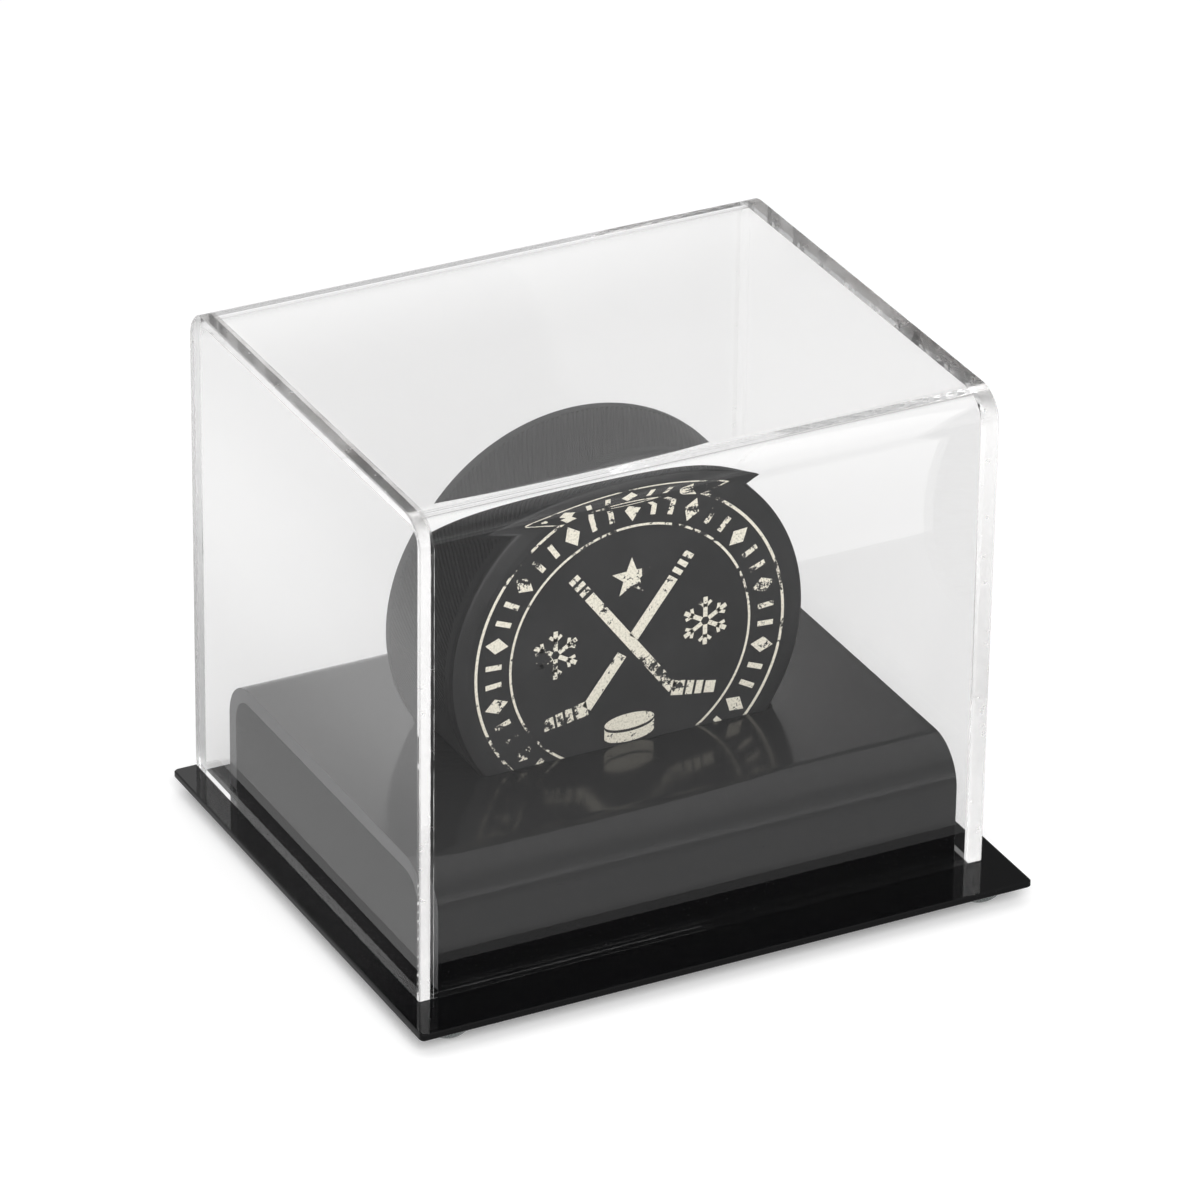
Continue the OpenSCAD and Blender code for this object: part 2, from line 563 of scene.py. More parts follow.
@dataclass(frozen=True)
class PrintInk(Finish):
    """Cream screen print that has worn off the rubber in specks and patches, less so higher up."""

    name: str = "cream_print"
    colour: Colour = (0.86, 0.82, 0.70, 1.0)
    thin: Colour = (0.60, 0.57, 0.47, 1.0)
    thin_shows: Flat = (0.40, 0.75)
    rubber: PuckRubber = PuckRubber()
    patches: Pattern = Pattern(75.0, 3.0)
    flakes: Pattern = Pattern(620.0, 4.0)
    specks: Pattern = Pattern(2300.0)
    worn_shows: Flat = (0.54, 0.58)
    kept_from: Flat = (20 * MM, 50 * MM)

    def shader(self, tree: MaterialTree) -> Wire:
        """Adds the nodes of the ink and of the rubber under it.

        Args:
            tree: The material's tree.

        Returns:
            The shader.
        """
        base, rough, normal = self.rubber.body(tree)
        specks = tree.noise(self.specks)
        _, _, z = tree.axes()
        wear = tree.noise(self.patches) * 0.5 + tree.noise(self.flakes) * 0.4 + specks * 0.18
        worn = (wear - z.ramp(*self.kept_from) * 0.035).ramp(*self.worn_shows)
        ink = tree.mix(specks.ramp(*self.thin_shows), self.colour, self.thin)
        return tree.principled(
            Base_Color=tree.mix(worn, ink, base),
            Roughness=rough + (1 - worn) * 0.12,
            Normal=normal,
            IOR=RUBBER_INDEX,
        )


@dataclass(frozen=True)
class BumperRubber(Finish):
    """Clear soft rubber of a stick-on foot, a little green and cloudy."""

    name: str = "clear_rubber"
    colour: Colour = (0.72, 0.82, 0.80, 1.0)
    cloud: Colour = (0.55, 0.66, 0.65, 1.0)
    clouds: Pattern = Pattern(420.0, 3.0)
    skin: Pattern = Pattern(1800.0)
    skin_depth: float = 0.01 * MM
    index: float = 1.47
    clearness: float = 0.9

    def shader(self, tree: MaterialTree) -> Wire:
        """Adds the nodes of the clear rubber.

        Args:
            tree: The material's tree.

        Returns:
            The shader.
        """
        clouds = tree.noise(self.clouds)
        return tree.principled(
            Base_Color=tree.mix(clouds, self.colour, self.cloud),
            Roughness=0.08 + clouds * 0.14,
            Normal=tree.bump(tree.noise(self.skin), self.skin_depth),
            IOR=self.index,
            Transmission_Weight=self.clearness,
        )


# Meshes


class MeshDraft:
    """Points and faces of one piece, with a finish for each face."""

    def __init__(self) -> None:
        """Starts empty."""
        self.points: List[Point] = []
        self.faces: List[Tuple[int, ...]] = []
        self.kinds: List[int] = []

    def ring(self, points: Iterable[Point]) -> List[int]:
        """Adds points.

        Args:
            points: The points, in order.

        Returns:
            Their numbers.
        """
        first = len(self.points)
        self.points.extend(points)
        return list(range(first, len(self.points)))

    def face(self, corners: Sequence[int], kind: int = 0) -> None:
        """Adds one face with a finish."""
        self.faces.append(tuple(corners))
        self.kinds.append(int(kind))

    def bridge(
        self, first: Sequence[int], second: Sequence[int], kind: int = 0, closed: bool = False
    ) -> None:
        """Joins two rows of points with four-sided faces.

        Args:
            first: Numbers of the points of one row.
            second: Numbers of as many points of the other row.
            kind: The faces' finish.
            closed: True where the rows' ends meet.
        """
        count = len(first)
        for i in range(count if closed else count - 1):
            j = (i + 1) % count
            self.face((first[i], first[j], second[j], second[i]), kind)

    def tube(self, rows: Sequence[Sequence[int]], kinds: Optional[Sequence[int]] = None) -> None:
        """Joins closed rows one after the other, and closes both ends.

        Args:
            rows: Numbers of the points of each row.
            kinds: The finish of each join, where they differ.
        """
        for first, second, kind in zip(rows, rows[1:], kinds or [0] * len(rows)):
            self.bridge(first, second, kind, closed=True)
        self.face(rows[0])
        self.face(rows[-1][::-1])

    def build(
        self, name: str, materials: Sequence[bpy.types.Material], sharp_deg: float = 24.0
    ) -> bpy.types.Object:
        """Makes the object.

        Args:
            name: Its name.
            materials: One material for each kind of face.
            sharp_deg: The angle between two faces from which their edge shows.

        Returns:
            The object, at the origin, with its faces pointing outwards.
        """
        mesh = bpy.data.meshes.new(name)
        mesh.from_pydata(self.points, [], self.faces)
        for polygon, kind in zip(mesh.polygons, self.kinds):
            polygon.material_index = kind
        shell = bmesh.new()
        shell.from_mesh(mesh)
        bmesh.ops.recalc_face_normals(shell, faces=shell.faces)
        for face in shell.faces:
            face.smooth = True
        for edge in shell.edges:
            edge.smooth = edge.calc_face_angle(math.pi) < math.radians(sharp_deg)
        shell.to_mesh(mesh)
        shell.free()
        for material in materials:
            mesh.materials.append(material)
        piece = bpy.data.objects.new(name, mesh)
        bpy.context.scene.collection.objects.link(piece)
        return piece


def settle(piece: bpy.types.Object, body: str, slot: str, *nodes: str) -> None:
    """Puts a piece on its body.

    Args:
        piece: The piece.
        body: The body that it moves with.
        slot: Not used.
        nodes: The solids that it stands for.
    """
    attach(piece, body)
    if nodes:
        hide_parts(*nodes)
    LOG.info("%s: %d faces on %s", piece.name, len(piece.data.polygons), body)


class RingArray(Tree):
    """Geometry Nodes that twist a shape about an axis along Y and repeat it round that axis."""

    INPUTS = (
        ("Count", "NodeSocketInt"),
        ("Centre", "NodeSocketVector"),
        ("Twist", "NodeSocketFloat"),
        ("Uneven", "NodeSocketFloat"),
        ("Seed", "NodeSocketInt"),
        ("Finish", "NodeSocketMaterial"),
    )

    def __init__(self, name: str) -> None:
        """Builds the tree with its named inputs.

        Args:
            name: The tree's name.
        """
        self.group = bpy.data.node_groups.new(name, "GeometryNodeTree")
        super().__init__(self.group)
        sockets = self.group.interface
        for way in ("INPUT", "OUTPUT"):
            sockets.new_socket("Geometry", in_out=way, socket_type="NodeSocketGeometry")
        self.keys = {
            title: sockets.new_socket(title, in_out="INPUT", socket_type=kind).identifier
            for title, kind in self.INPUTS
        }
        self._wire_up()

    def _wire_up(self) -> None:
        """Adds the nodes: the shape is twisted and moved to the origin, then set round the axis."""
        given = self.node("NodeGroupInput")
        centre, count = given.out("Centre"), given.out("Count")
        place = self.node("GeometryNodeInputPosition")
        _, along, _ = self.split(place)
        _, middle, _ = self.split(centre)
        twist = {"Vector": place, "Center": centre, "Angle": (along - middle) * given.out("Twist")}
        twisted = self.node("ShaderNodeVectorRotate", {"rotation_type": "Y_AXIS"}, twist)
        local = self.node("ShaderNodeVectorMath", {"operation": "SUBTRACT"}, {0: twisted, 1: centre})
        shape = self.node("GeometryNodeSetPosition", inputs={"Geometry": given, "Position": local})
        points = self.node("GeometryNodePoints", inputs={"Count": count, "Position": centre})
        draw = {2: -1.0, 3: 1.0, "Seed": given.out("Seed")}
        stray = self.node("FunctionNodeRandomValue", {"data_type": "FLOAT"}, draw, output=1)
        angle = (self.node("GeometryNodeInputIndex") + stray * given.out("Uneven")) * (math.tau / count)
        turn = self.node("FunctionNodeAxisAngleToRotation", inputs={"Axis": (0.0, 1.0, 0.0), "Angle": angle})
        copies = {"Points": points, "Instance": shape, "Rotation": turn}
        ring = self.node("GeometryNodeInstanceOnPoints", inputs=copies)
        ring = self.node("GeometryNodeRealizeInstances", inputs={0: ring})
        finished = {"Geometry": ring, "Material": given.out("Finish")}
        self.node("NodeGroupOutput", inputs={0: self.node("GeometryNodeSetMaterial", inputs=finished)})

    def repeat(self, seed: bpy.types.Object, **values: Any) -> bpy.types.Object:
        """Repeats an object's mesh and leaves the result in it as a plain mesh.

        Args:
            seed: The object that holds one copy of the shape.
            values: A value for each of the tree's inputs.

        Returns:
            The same object.
        """
        modifier = seed.modifiers.new(self.group.name, "NODES")
        modifier.node_group = self.group
        for title, value in values.items():
            modifier[self.keys[title]] = value
        graph = bpy.context.evaluated_depsgraph_get()
        mesh = bpy.data.meshes.new_from_object(seed.evaluated_get(graph))
        seed.modifiers.clear()
        seed.data = mesh
        return seed


# Sub-assemblies


class SheetFace(IntEnum):
    """What a face of a clear sheet is."""

    CLEAR = 0
    CUT = 1
    BOND = 2
    FOOT = 3


class PuckFace(IntEnum):
    """What a face of the puck is."""

    FLAT = 0
    RIM = 1


class Side(Enum):
    """The two ends of the case, and the two halves of the print."""

    LEFT = -1
    RIGHT = 1


@dataclass
class Base:
    """The base plate, the riser bonded to it and the feet under it, all kept from the solids."""

    nodes: Dict[str, bpy.types.Object]
    cut_depth: float = 0.02 * MM
    plate_gloss: float = 0.24
    riser_haze: float = 0.13

    def dress(self) -> None:
        """Gives each solid its finish."""
        _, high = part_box("riser")
        riser = BlackSheet("black_sheet_riser", cut_x=high.x - self.cut_depth, haze=self.riser_haze)
        finishes = {
            "base_plate": BlackSheet("black_sheet_plate", gloss=self.plate_gloss).material(),
            "riser": riser.material(),
        }
        bumper = BumperRubber().material()
        finishes.update({name: bumper for name in self.nodes if name.startswith("foot_")})
        for name, material in finishes.items():
            mesh = self.nodes[name].data
            mesh.materials.clear()
            mesh.materials.append(material)
            LOG.info("%s: solid kept, finish %s", name, material.name)


@dataclass
class FrontPrint:
    """The print on the puck's front: crossed sticks, a small puck, ice crystals and a star in a ring.

    Its sizes and places are in millimetres, across and up from the middle of the face, and its cuts are
    shares of a length. The middle and the ink's half thickness are in metres.
    """

    middle: Point
    ink: float = 0.02 * MM
    stick_butt: Flat = (-12.6, 17.4)
    stick_heel: Flat = (9.4, -11.6)
    stick_toe: Flat = (18.6, -13.4)
    stick_w: float = 2.3
    blade_w: float = 3.4
    blade_taper: float = 0.8
    grip_cuts: Tuple[Flat, ...] = ((0.0, 0.035), (0.055, 0.085), (0.105, 0.135))
    shaft_cuts: Tuple[Flat, ...] = ((0.16, 1.0),)
    crossed_cuts: Tuple[Flat, ...] = ((0.16, 0.545), (0.655, 1.0))
    blade_cuts: Tuple[Flat, ...] = ((-0.02, 0.26), (0.32, 0.48), (0.54, 0.70), (0.76, 1.0))
    flake_at: Flat = (16.2, 1.6)
    flake_r: float = 5.2
    flake_hub: float = 0.16
    arm_w: float = 0.95
    barb_w: float = 0.7
    barb_at: float = 0.6
    barb_length: float = 0.32
    barb_deg: float = 50.0
    star_up: float = 14.8
    star_radii: Flat = (4.4, 1.85)
    disc_radii: Flat = (5.4, 1.7)
    disc_points: int = 48
    disc_up: float = -16.6
    disc_rim_up: Flat = (-17.2, -19.4)
    lines: Tuple[Flat, ...] = ((25.6, 26.1), (32.9, 33.5))
    line_points: int = 192
    marks: int = 14
    mark_r: float = 29.5
    lozenge_half: Flat = (1.7, 2.5)
    bar_half: Flat = (0.55, 1.7)
    bar_deg: float = 9.0

    @staticmethod
    def stroke(start: Vector, end: Vector, width: float) -> List[Flat]:
        """Returns the outline of a straight stroke between two points."""
        across = Vector((start.y - end.y, end.x - start.x)).normalized() * width / 2
        return [tuple(p) for p in (start - across, end - across, end + across, start + across)]

    @staticmethod
    def oval(across: float, up: float, count: int, turn: float = 0.0) -> List[Flat]:
        """Returns points round an oval, clockwise from the top or from some turn past it."""
        turns = (turn + math.tau * i / count for i in range(count))
        return [(across * math.sin(t), up * math.cos(t)) for t in turns]

    def stick(self, side: Side) -> List[List[Flat]]:
        """Draws a hockey stick with taped grip and blade, its blade on the right.

        Args:
            side: Where it goes. The left one is broken where the right one lies over it.

        Returns:
            The outlines of its strokes.
        """
        butt, heel, toe = Vector(self.stick_butt), Vector(self.stick_heel), Vector(self.stick_toe)
        shaft, blade = heel - butt, toe - heel
        cuts = self.grip_cuts + (self.shaft_cuts if side is Side.RIGHT else self.crossed_cuts)
        strokes = [self.stroke(butt + shaft * a, butt + shaft * b, self.stick_w) for a, b in cuts]
        for a, b in self.blade_cuts:
            width = self.blade_w - self.blade_taper * b
            strokes.append(self.stroke(heel + blade * a, heel + blade * b, width))
        return strokes

    def flake(self) -> List[List[Flat]]:
        """Draws a six-armed ice crystal, on the right.

        Returns:
            The outlines of its strokes.
        """
        strokes = []
        middle = Vector(self.flake_at)
        for arm in range(6):
            tip = Matrix.Rotation(math.radians(60 * arm + 30), 2) @ Vector((self.flake_r, 0.0))
            strokes.append(self.stroke(middle + tip * self.flake_hub, middle + tip, self.arm_w))
            root = middle + tip * self.barb_at
            for lean in (-self.barb_deg, self.barb_deg):
                barb = Matrix.Rotation(math.radians(lean), 2) @ tip * self.barb_length
                strokes.append(self.stroke(root, root + barb, self.barb_w))
        return strokes

    def star(self) -> List[Flat]:
        """Draws the five-pointed star.

        Returns:
            Its outline.
        """
        outer, inner = self.star_radii
        tips, notches = self.oval(outer, outer, 5), self.oval(inner, inner, 5, math.pi / 5)
        return [(u, v + self.star_up) for pair in zip(tips, notches) for u, v in pair]

    def small_puck(self) -> List[List[Flat]]:
        """Draws the small puck, seen a little from above.

        Returns:
            The outlines of its face and of the rim under it.
        """
        oval = self.oval(*self.disc_radii, self.disc_points)
        quarter = self.disc_points // 4
        near = oval[quarter : 3 * quarter + 1]
        upper, lower = self.disc_rim_up
        rim = [(u, v + upper) for u, v in near] + [(u, v + lower) for u, v in near[::-1]]
        return [[(u, v + self.disc_up) for u, v in oval], rim]

    def ring_mark(self) -> List[List[Flat]]:
        """Draws one mark of the ring, at the top.

        Returns:
            The outlines of its lozenge and of the bar on each side of it.
        """
        r = self.mark_r
        w, h = self.lozenge_half
        outlines = [[(0.0, r + h), (w, r), (0.0, r - h), (-w, r)]]
        w, h = self.bar_half
        for lean in (-self.bar_deg, self.bar_deg):
            turn = Matrix.Rotation(math.radians(lean), 2)
            corners = ((-w, r + h), (w, r + h), (w, r - h), (-w, r - h))
            outlines.append([tuple(turn @ Vector(corner)) for corner in corners])
        return outlines

    def row(self, draft: MeshDraft, outline: Sequence[Flat], depth: float) -> List[int]:
        """Adds an outline's points, at a depth from the face, and returns their numbers."""
        x, y, z = self.middle
        return draft.ring((x + u * MM, y + depth, z + v * MM) for u, v in outline)

    def shape(self, draft: MeshDraft, outline: Sequence[Flat]) -> None:
        """Adds a printed shape to a draft."""
        draft.tube([self.row(draft, outline, depth) for depth in (-self.ink, self.ink)])

    def line(self, draft: MeshDraft, inner: float, outer: float) -> None:
        """Adds a printed line round the middle.

        Args:
            draft: The draft that it is added to.
            inner: Its inner radius.
            outer: Its outer radius.
        """
        section = ((inner, -self.ink), (outer, -self.ink), (outer, self.ink), (inner, self.ink))
        rows = [self.row(draft, self.oval(r, r, self.line_points), depth) for r, depth in section]
        for first, second in zip(rows, rows[1:] + rows[:1]):
            draft.bridge(first, second, closed=True)

    def build(self) -> List[bpy.types.Object]:
        """Builds the print.

        Returns:
            Its centre, and the marks of the ring.
        """
        cream = PrintInk().material()
        draft = MeshDraft()
        for side in Side:
            for outline in self.stick(side) + self.flake():
                self.shape(draft, [(side.value * u, v) for u, v in outline])
        for outline in [self.star()] + self.small_puck():
            self.shape(draft, outline)
        for inner, outer in self.lines:
            self.line(draft, inner, outer)
        centre = draft.build("print_centre", [cream])
        draft = MeshDraft()
        for outline in self.ring_mark():
            self.shape(draft, outline)
        ring = draft.build("print_ring", [cream])
        RingArray("ring_marks").repeat(
            ring, Count=self.marks, Centre=self.middle, Twist=0.0, Uneven=0.0, Seed=1, Finish=cream
        )
        return [centre, ring]


@dataclass
class Puck:
    """The rubber puck: a turned body, the ridges round its rim and the print on its front."""

    low: Vector
    high: Vector
    bevel_w: float = 2.2 * MM
    bevel_drop: float = 0.6 * MM
    edge: float = 1.2 * MM
    edge_from_deg: float = 15.0
    edge_steps: int = 6
    soft: float = 0.35 * MM
    shoulder: float = 1.6 * MM
    land_depth: float = 0.3 * MM
    land_lead: float = 0.06 * MM
    around: int = 192
    sharp_deg: float = 28.0
    ridges: int = 220
    ridge_foot: float = 0.86 * MM
    ridge_crest: float = 0.34 * MM
    ridge_sink: float = 0.03 * MM
    ridge_end_gap: float = 0.05 * MM
    ridge_lean: float = 0.51
    ridge_stray: float = 0.04
    ridge_steps: int = 8
    rubber: PuckRubber = PuckRubber()
    # The rim is the same rubber as the face, made darker and less glossy: painted shade.
    rim: PuckRubber = PuckRubber(
        "puck_rim", colour=(0.005, 0.005, 0.0055, 1.0), bloom=(0.012, 0.012, 0.0125, 1.0), gloss=0.2
    )
    centre: Vector = field(init=False)
    radius: float = field(init=False)
    half: float = field(init=False)
    land: float = field(init=False)

    def __post_init__(self) -> None:
        """Works out the puck's middle and radius, and half its thickness and half its ridged land."""
        self.centre = (self.low + self.high) / 2
        self.centre.x = 0.0
        self.radius = self.high.x
        self.half = (self.high.y - self.low.y) / 2
        self.land = self.half - self.bevel_drop - self.edge - self.shoulder

    def profile(self) -> List[Flat]:
        """Draws the turned section, with softened corners.

        Returns:
            Radius and depth from the front face to the back face.
        """
        bevel_r = self.radius - self.edge
        flat_r = bevel_r - self.bevel_w
        bevel_h = self.half - self.bevel_drop
        eased = self.soft * self.bevel_drop / self.bevel_w
        front = [
            (flat_r - self.soft, self.half),
            (flat_r + self.soft, self.half - eased),
            (bevel_r - self.soft, bevel_h + eased),
        ]
        for i in range(self.edge_steps + 1):
            t = math.radians(self.edge_from_deg + (90 - self.edge_from_deg) * i / self.edge_steps)
            front.append((bevel_r + self.edge * math.sin(t), bevel_h - self.edge * (1 - math.cos(t))))
        front += [(self.radius, self.land), (self.radius - self.land_depth, self.land - self.land_lead)]
        return [(radius, -depth) for radius, depth in front] + front[::-1]

    def body(self) -> bpy.types.Object:
        """Builds the turned body.

        Returns:
            The piece, with the rim in a darker copy of the rubber, which is painted shade.
        """
        draft = MeshDraft()
        c = self.centre
        profile = self.profile()
        turns = [math.tau * i / self.around for i in range(self.around)]
        rows = [
            draft.ring((c.x + radius * math.sin(t), c.y + depth, c.z + radius * math.cos(t)) for t in turns)
            for radius, depth in profile
        ]
        radii = [radius for radius, _ in profile]
        rim_r = self.radius - self.edge / 2
        kinds = [PuckFace.RIM if min(pair) > rim_r else PuckFace.FLAT for pair in zip(radii, radii[1:])]
        draft.tube(rows, kinds)
        return draft.build("puck_body", [self.rubber.material(), self.rim.material()], self.sharp_deg)

    def knurl(self) -> bpy.types.Object:
        """Builds the ridges of the rim.

        Returns:
            One slanting bar, repeated round the rim.
        """
        draft = MeshDraft()
        c = self.centre
        foot, crest = self.ridge_foot / 2, self.ridge_crest / 2
        foot_r = self.radius - self.land_depth - self.ridge_sink
        section = [(-foot, foot_r), (-crest, self.radius), (crest, self.radius), (foot, foot_r)]
        reach = self.land - self.ridge_end_gap
        depths = [reach * (2 * i / self.ridge_steps - 1) for i in range(self.ridge_steps + 1)]
        draft.tube([draft.ring((c.x + u, c.y + depth, c.z + v) for u, v in section) for depth in depths])
        # The ridges take the rim's darker copy of the rubber: painted shade.
        rubber = replace(self.rim, name="puck_ridges").material()
        bar = draft.build("puck_ridges", [rubber])
        lean = {"Twist": self.ridge_lean / self.radius, "Uneven": self.ridge_stray, "Seed": 7}
        return RingArray("rim_ridges").repeat(bar, Count=self.ridges, Centre=tuple(c), Finish=rubber, **lean)

    def build(self) -> None:
        """Builds the puck and puts it on its body."""
        settle(self.body(), "puck", "puck_rubber", "puck")
        settle(self.knurl(), "puck", "puck_rubber")
        for piece in FrontPrint((self.centre.x, self.low.y, self.centre.z)).build():
            settle(piece, "puck", "")


@dataclass
class Cover:
    """The clear cover: one sheet bent over front, roof and back, and a flat panel bonded to each end."""

    low: Vector
    high: Vector
    inner_x: float
    bend_inner: float = 3.5 * MM
    steps: int = 20
    hold: float = 0.1 * MM
    bond_gap: float = 0.01 * MM
    stand: float = 0.02 * MM
    arris: float = 0.25 * MM
    sheet: float = field(init=False)
    materials: List[bpy.types.Material] = field(init=False)

    def __post_init__(self) -> None:
        """Works out the sheet's thickness and makes a material for each kind of face."""
        self.sheet = self.high.x - self.inner_x
        seam = BondSeam(low=tuple(self.low), high=tuple(self.high), sheet=self.sheet)
        self.materials = [finish.material() for finish in (ClearSheet(), SawnEdge(), seam, SandedFoot())]

    def outline(self, inset: float) -> List[Flat]:
        """Draws the bent sheet's section from the front foot over the roof to the back foot.

        Args:
            inset: Distance in from the outer skin.

        Returns:
            Points along Y and Z, as many for every inset.
        """
        radius = self.bend_inner + self.sheet - inset
        hold = radius + self.hold
        front, back = self.low.y + inset, self.high.y - inset
        foot, top = self.low.z + self.stand, self.high.z - inset
        turns = [math.pi / 2 * i / self.steps for i in range(self.steps + 1)]
        points = [(front, foot), (front, top - hold)]
        points += [(front + radius * (1 - math.cos(t)), top - radius * (1 - math.sin(t))) for t in turns]
        points += [(front + hold, top), (back - hold, top)]
        points += [(back - radius * (1 - math.sin(t)), top - radius * (1 - math.cos(t))) for t in turns]
        return points + [(back, top - hold), (back, foot)]

    def wrap(self) -> bpy.types.Object:
        """Builds the bent sheet.

        Returns:
            The piece.
        """
        draft = MeshDraft()
        reach = self.inner_x - self.bond_gap
        skins = (0.0, self.sheet)
        rows = {
            (side, skin): draft.ring((side.value * reach, y, z) for y, z in self.outline(skin))
            for side in Side
            for skin in skins
        }
        for skin in skins:
            draft.bridge(rows[Side.LEFT, skin], rows[Side.RIGHT, skin], SheetFace.CLEAR)
        for side in Side:
            draft.bridge(rows[side, 0.0], rows[side, self.sheet], SheetFace.BOND)
        outer, inner = ([rows[side, skin] for side in Side] for skin in skins)
        for end, kind in ((0, SheetFace.BOND), (-1, SheetFace.FOOT)):
            draft.face([row[end] for row in outer + inner[::-1]], kind)
        return draft.build("cover_wrap_sheet", self.materials)

    def end(self, side: Side) -> bpy.types.Object:
        """Builds the flat panel at one end.

        Args:
            side: The end.

        Returns:
            The piece.
        """
        draft = MeshDraft()
        inside, outside = side.value * self.inner_x, side.value * self.high.x
        eased = outside - side.value * self.arris
        skin, lip, edge, joint = (
            draft.ring((x, y, z) for y, z in self.outline(inset))
            for x, inset in ((outside, self.arris), (eased, 0.0), (inside, 0.0), (inside, self.sheet))
        )
        draft.face(skin, SheetFace.CLEAR)
        draft.face(joint, SheetFace.CLEAR)
        draft.bridge(skin, lip, SheetFace.CUT)
        draft.bridge(lip, edge, SheetFace.CUT)
        draft.bridge(edge, joint, SheetFace.BOND)
        rows = (skin, lip, edge, joint)
        foot = [skin[0]] + [row[-1] for row in rows] + [row[0] for row in rows[:0:-1]]
        draft.face(foot, SheetFace.CLEAR)
        return draft.build(f"cover_panel_{side.name.lower()}", self.materials)

    def build(self) -> None:
        """Builds the cover and puts it on its body."""
        settle(self.wrap(), "cover", "clear_sheet", "cover_wrap")
        for side in Side:
            settle(self.end(side), "cover", "clear_sheet", f"cover_end_{side.name.lower()}")


# Stage


@dataclass(frozen=True)
class Viewpoint:
    """Where the camera stands, and how it is turned."""

    azimuth_deg: float = -27.51
    elevation_deg: float = 28.25
    roll_deg: float = 0.792
    distance: float = 1.4985
    target: Point = (2.13 * MM, 4.49 * MM, 52.43 * MM)
    lens: float = 231.56
    sensor: float = 36.0
    clip: Flat = (0.01, 100.0)

    def place(self) -> None:
        """Adds the camera and makes it the scene's own."""
        turn = Matrix.Rotation(math.radians(self.azimuth_deg), 4, "Z")
        tilt = Matrix.Rotation(math.radians(90 - self.elevation_deg), 4, "X")
        roll = Matrix.Rotation(math.radians(self.roll_deg), 4, "Z")
        away = Matrix.Translation((0.0, 0.0, self.distance))
        data = bpy.data.cameras.new("camera")
        data.lens = self.lens
        data.sensor_width = self.sensor
        data.clip_start, data.clip_end = self.clip
        camera = bpy.data.objects.new("camera", data)
        bpy.context.scene.collection.objects.link(camera)
        camera.matrix_world = Matrix.Translation(self.target) @ turn @ tilt @ roll @ away
        bpy.context.scene.camera = camera


def set_up(draft: MeshDraft, name: str, material: bpy.types.Material) -> None:
    """Adds a piece of the stage, which glows only where it is looked at."""
    material.cycles.emission_sampling = "NONE"
    draft.build(name, [material])


@dataclass(frozen=True)
class Floor:
    """The pale floor, whose glow in polished faces has its own level in each stretch round the case."""

    size: float = 12.0
    colour: Colour = grey(0.96)
    blot: Colour = grey(0.95)
    blots: Pattern = Pattern(9.0)
    lift: float = 0.18
    far_front: float = 0.29
    front: float = 0.44
    beside: float = 0.58
    left: float = 0.8
    far_left: float = 0.62
    back: float = 1.0
    front_y: Flat = (-0.16, -0.08)
    beside_y: Flat = (-0.06, -0.02)
    back_y: Flat = (0.10, 0.15)
    back_x: float = -0.055
    left_by: Flat = (0.085, 0.112)
    far_left_by: Flat = (0.118, 0.145)

    def glow(self, tree: MaterialTree) -> Wire:
        """Adds the nodes of what polished faces show of the floor.

        Args:
            tree: The floor's tree.

        Returns:
            The colour of its glow.
        """
        x, y, _ = tree.axes()
        side = tree.mix((-x).ramp(*self.left_by), grey(self.beside), grey(self.left))
        side = tree.mix((-x).ramp(*self.far_left_by), side, grey(self.far_left))
        side = tree.mix(y.ramp(*self.back_y) * (x > self.back_x), side, grey(self.back))
        front = tree.mix(y.ramp(*self.front_y), grey(self.far_front), grey(self.front))
        return tree.mix(y.ramp(*self.beside_y), front, side)

    def build(self) -> None:
        """Adds the floor, which lights nothing by its glow."""
        draft = MeshDraft()
        h = self.size / 2
        draft.face(draft.ring(((-h, -h, 0.0), (h, -h, 0.0), (h, h, 0.0), (-h, h, 0.0))))
        tree = MaterialTree("pale_floor")
        colour = tree.mix(tree.noise(self.blots) * 0.5, self.colour, self.blot)
        path = tree.node("ShaderNodeLightPath")
        mirrors = path.out("Glossy Depth")
        mirrored = (mirrors > ANY) * (mirrors < GUIDED)
        seen = path.out("Diffuse Depth") < ANY
        glow = tree.mix(mirrored, grey(self.lift), self.glow(tree))
        shader = tree.principled(
            Base_Color=tree.mix(mirrored, colour, grey(0.0)),
            Roughness=0.9,
            Specular_IOR_Level=0.0,
            Emission_Color=tree.mix(seen, grey(0.0), glow),
            Emission_Strength=1.0,
        )
        set_up(draft, "floor", tree.done(shader))


@dataclass(frozen=True)
class Card:
    """A pale card behind the case, seen only in mirrored light, also inside the clear sheets."""

    left: float = -0.7
    right: float = 0.5
    back: float = 0.45
    top: float = 0.6
    glow: float = 1.25
    foot: float = 0.85
    edge: float = 0.2
    edge_in_sheet: float = 0.5
    guided: float = 0.88
    foot_z: Flat = (0.20, 0.26)
    edge_z: Flat = (0.312, 0.348)
    edge_x: Flat = (0.20, 0.38)

    def build(self) -> None:
        """Adds the card, dim along its top and right, and even to light that a sheet has guided."""
        draft = MeshDraft()
        corners = ((self.left, 0.0), (self.right, 0.0), (self.right, self.top), (self.left, self.top))
        draft.face(draft.ring((x, self.back, z) for x, z in corners))
        tree = MaterialTree("pale_card")
        x, _, z = tree.axes()
        path = tree.node("ShaderNodeLightPath")
        mirrors = path.out("Glossy Depth")
        sheets = path.out("Transmission Depth")
        in_sheet = (sheets > ANY) * (sheets < ONE_SHEET)
        bright = tree.mix(z.ramp(*self.foot_z) * (1 - in_sheet), grey(self.foot), grey(self.glow))
        edge = tree.mix(in_sheet, grey(self.edge), grey(self.edge_in_sheet))
        glow = tree.mix((1 - x.ramp(*self.edge_x)) * (1 - z.ramp(*self.edge_z)), edge, bright)
        glow = tree.mix(mirrors > GUIDED, glow, grey(self.guided))
        light = tree.node("ShaderNodeEmission", inputs={"Color": glow, "Strength": 1.0})
        set_up(draft, "card", tree.done(tree.blend(mirrors > ANY, tree.film(1.0), light)))


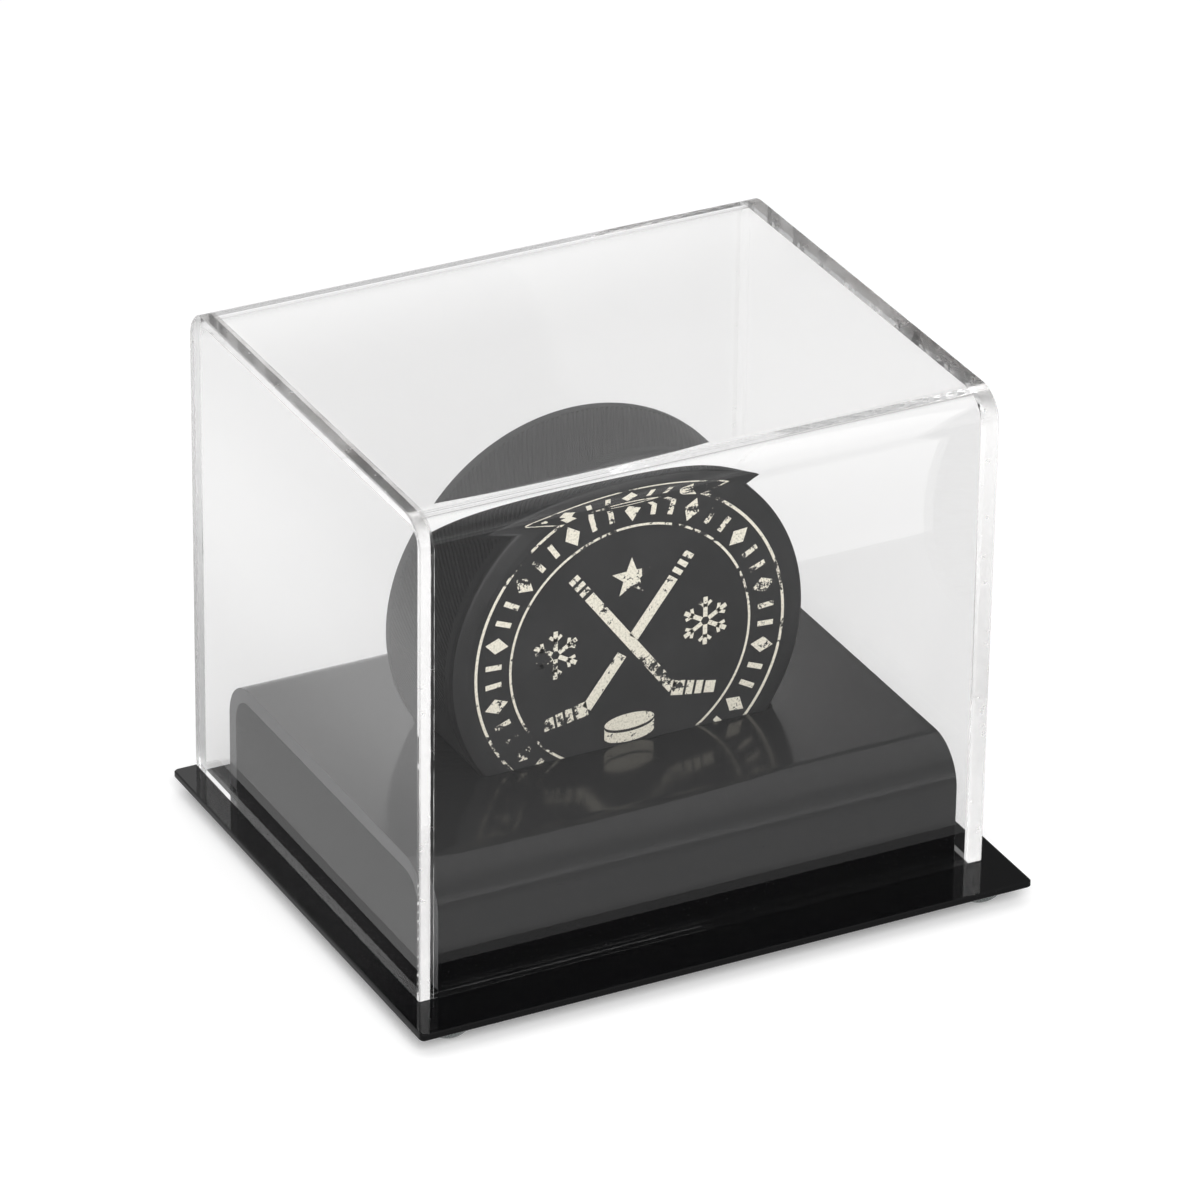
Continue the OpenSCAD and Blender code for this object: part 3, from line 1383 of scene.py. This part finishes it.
@dataclass(frozen=True)
class Studio:
    """The floor and the card, under soft light from all round and one wide lamp."""

    sky_levels: Tuple[Flat, ...] = (
        (0.0, 0.98), (0.08, 0.95), (0.30, 0.50), (0.55, 0.42), (0.78, 0.70), (1.0, 1.0)
    )
    key_power: float = 16.5
    key_size: float = 1.0
    key_at: Point = (-0.45, -1.2, 1.0)
    key_aim: Point = (0.0, 0.0, 0.05)
    bounces: int = 128
    sheet_bounces: int = 64
    film_bounces: int = 48

    def sky(self) -> None:
        """Lights the scene from all round, brightest overhead and near the horizon."""
        world = bpy.data.worlds.new("studio")
        world.use_nodes = True
        bpy.context.scene.world = world
        tree = Tree(world.node_tree)
        _, _, up = tree.split(tree.node("ShaderNodeTexCoord"))
        stops = [(height, grey(level)) for height, level in self.sky_levels]
        light = tree.node("ShaderNodeValToRGB", {"stops": stops}, {0: up})
        light = tree.node("ShaderNodeBackground", inputs={"Color": light, "Strength": 1.0})
        tree.node("ShaderNodeOutputWorld", inputs={0: light})

    def key(self) -> None:
        """Adds the lamp, in front and to the left."""
        data = bpy.data.lights.new("key", "AREA")
        data.shape = "DISK"
        data.size = self.key_size
        data.energy = self.key_power
        lamp = bpy.data.objects.new("key", data)
        bpy.context.scene.collection.objects.link(lamp)
        lamp.location = self.key_at
        aim = Vector(self.key_aim) - lamp.location
        lamp.rotation_euler = aim.to_track_quat("-Z", "Y").to_euler()

    def build(self) -> None:
        """Sets up the stage, the light and how far light is followed through the sheets."""
        Floor().build()
        self.sky()
        self.key()
        Card().build()
        scene = bpy.context.scene
        scene.view_settings.view_transform = "Standard"
        scene.cycles.max_bounces = self.bounces
        scene.cycles.glossy_bounces = self.bounces
        scene.cycles.transmission_bounces = self.sheet_bounces
        scene.cycles.transparent_max_bounces = self.film_bounces
        scene.cycles.use_denoising = True


def main() -> None:
    """Builds every sub-assembly, the stage and the camera."""
    logging.basicConfig(level=logging.INFO, format="%(name)s: %(message)s")
    Base(frame["nodes"]).dress()
    Puck(*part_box("puck")).build()
    low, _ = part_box("cover_end_left")
    inner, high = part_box("cover_end_right")
    Cover(low, high, inner.x).build()
    Studio().build()
    Viewpoint().place()


if __name__ == "__main__":
    main()
